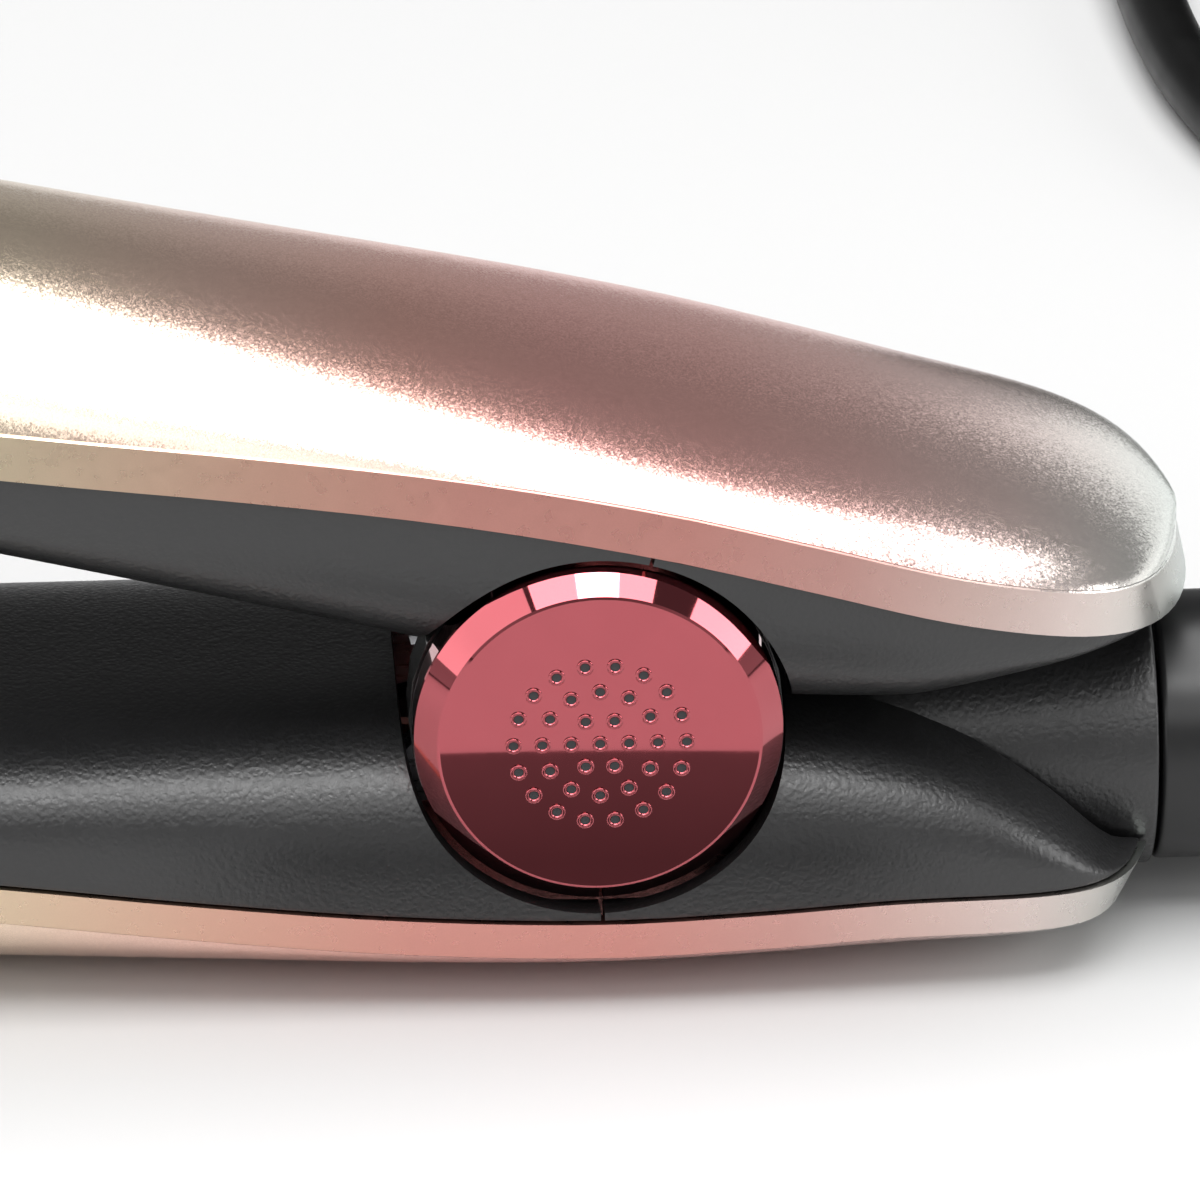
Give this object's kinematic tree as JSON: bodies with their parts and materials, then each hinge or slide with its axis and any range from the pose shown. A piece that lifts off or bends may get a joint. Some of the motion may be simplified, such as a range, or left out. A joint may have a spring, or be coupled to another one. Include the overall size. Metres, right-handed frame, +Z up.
{
  "type": "flat iron",
  "caption": "Hair-straightening flat iron with two sprung arms on a side hinge with round metal discs, floating heater plates and a swivel mains lead in a tied coil.",
  "frame": {"origin": "on the resting surface, under the middle of the bounding box of the iron without its lead, coil and plug", "axes": "+X along the lower arm from the tips to the lead's exit, +Y along the hinge pin away from the side that the pictured disc is on, +Z up"},
  "size_m": [0.3931, 0.2744, 0.0985],
  "materials": {
    "paint": "satin metallic paint shaded from gold through rose to silver-green",
    "soft_black": "fine-grained soft-touch",
    "gloss_black": "gloss",
    "rose_metal": "polished and anodised rose red",
    "steel": "brushed",
    "plate_coating": "smooth ceramic coat",
    "carrier": "glass-filled",
    "ceramic": "fired ceramic",
    "silicone": "matt",
    "board": "solder mask",
    "brass": "plated",
    "wire": "silicone sleeve",
    "clear": "frosted",
    "lead_jacket": "smooth",
    "strap": "woven hook-and-loop"
  },
  "bodies": {
    "lower_arm": {"contact_carrier": "carrier", "contact_pin": "brass", "hinge_disc_left": "rose_metal", "hinge_disc_right": "rose_metal", "hinge_hub_left": "gloss_black", "hinge_hub_right": "gloss_black", "hinge_pin": "steel", "hinge_spring": "steel", "lower_bracket_screw_1": "steel", "lower_bracket_screw_2": "steel", "lower_cushion_front": "silicone", "lower_cushion_rear": "silicone", "lower_cushion_shelf": "carrier", "lower_front_housing": "soft_black", "lower_heater_lead": "wire", "lower_hinge_bracket": "steel", "lower_rear_housing_left": "soft_black", "lower_rear_housing_right": "soft_black", "lower_shell": "paint", "supply_board": "board", "swivel_boss": "soft_black", "swivel_ring": "gloss_black", "thermal_fuse": "ceramic"},
    "upper_arm": {"button_switch": "gloss_black", "control_board": "board", "hinge_bush_left": "brass", "hinge_bush_right": "brass", "sounder": "gloss_black", "status_light_guide": "clear", "upper_bracket_screw_1": "steel", "upper_bracket_screw_2": "steel", "upper_cushion_front": "silicone", "upper_cushion_rear": "silicone", "upper_cushion_shelf": "carrier", "upper_front_housing": "soft_black", "upper_heater_lead": "wire", "upper_hinge_bracket": "steel", "upper_rear_housing": "soft_black", "upper_shell": "paint"},
    "upper_plate": {"upper_plate": "plate_coating", "upper_plate_carrier": "carrier", "upper_ceramic_heater": "ceramic", "upper_temperature_sensor": "brass"},
    "lower_plate": {"lower_plate": "plate_coating", "lower_plate_carrier": "carrier", "lower_ceramic_heater": "ceramic", "lower_temperature_sensor": "brass"},
    "button": {"power_button": "gloss_black"},
    "lead": {"cord_coil": "lead_jacket", "cord_lead": "lead_jacket", "cord_tail": "lead_jacket", "cord_tie": "strap", "plug_body": "soft_black", "plug_pin_left": "brass", "plug_pin_right": "brass", "strain_relief": "soft_black", "swivel_clip": "steel", "swivel_collar": "soft_black"}
  },
  "joints": [
    {"name": "arm_hinge", "type": "hinge", "parent": "lower_arm", "child": "upper_arm", "pos_m": [0.06, 0, 0.023], "axis": [0, -1, 0], "range_deg": [0, 16], "stiffness_Nm_per_rad": 0.35, "springref_deg": -28.65},
    {"name": "upper_plate_float", "type": "slide", "parent": "upper_arm", "child": "upper_plate", "axis": [0.2588, 0, 0.9659], "range_m": [0, 0.0009], "stiffness_N_per_m": 2500, "springref_m": -0.0004},
    {"name": "lower_plate_float", "type": "slide", "parent": "lower_arm", "child": "lower_plate", "axis": [0.0175, 0, -0.9998], "range_m": [0, 0.0009], "stiffness_N_per_m": 2500, "springref_m": -0.0004},
    {"name": "button_press", "type": "slide", "parent": "upper_arm", "child": "button", "axis": [0.2588, 0, 0.9659], "range_m": [0, 0.0007], "stiffness_N_per_m": 900, "springref_m": -0.0006},
    {"name": "lead_swivel", "type": "hinge", "parent": "lower_arm", "child": "lead", "pos_m": [0.105, 0, 0.0129], "axis": [1, 0, 0], "continuous": true}
  ]
}
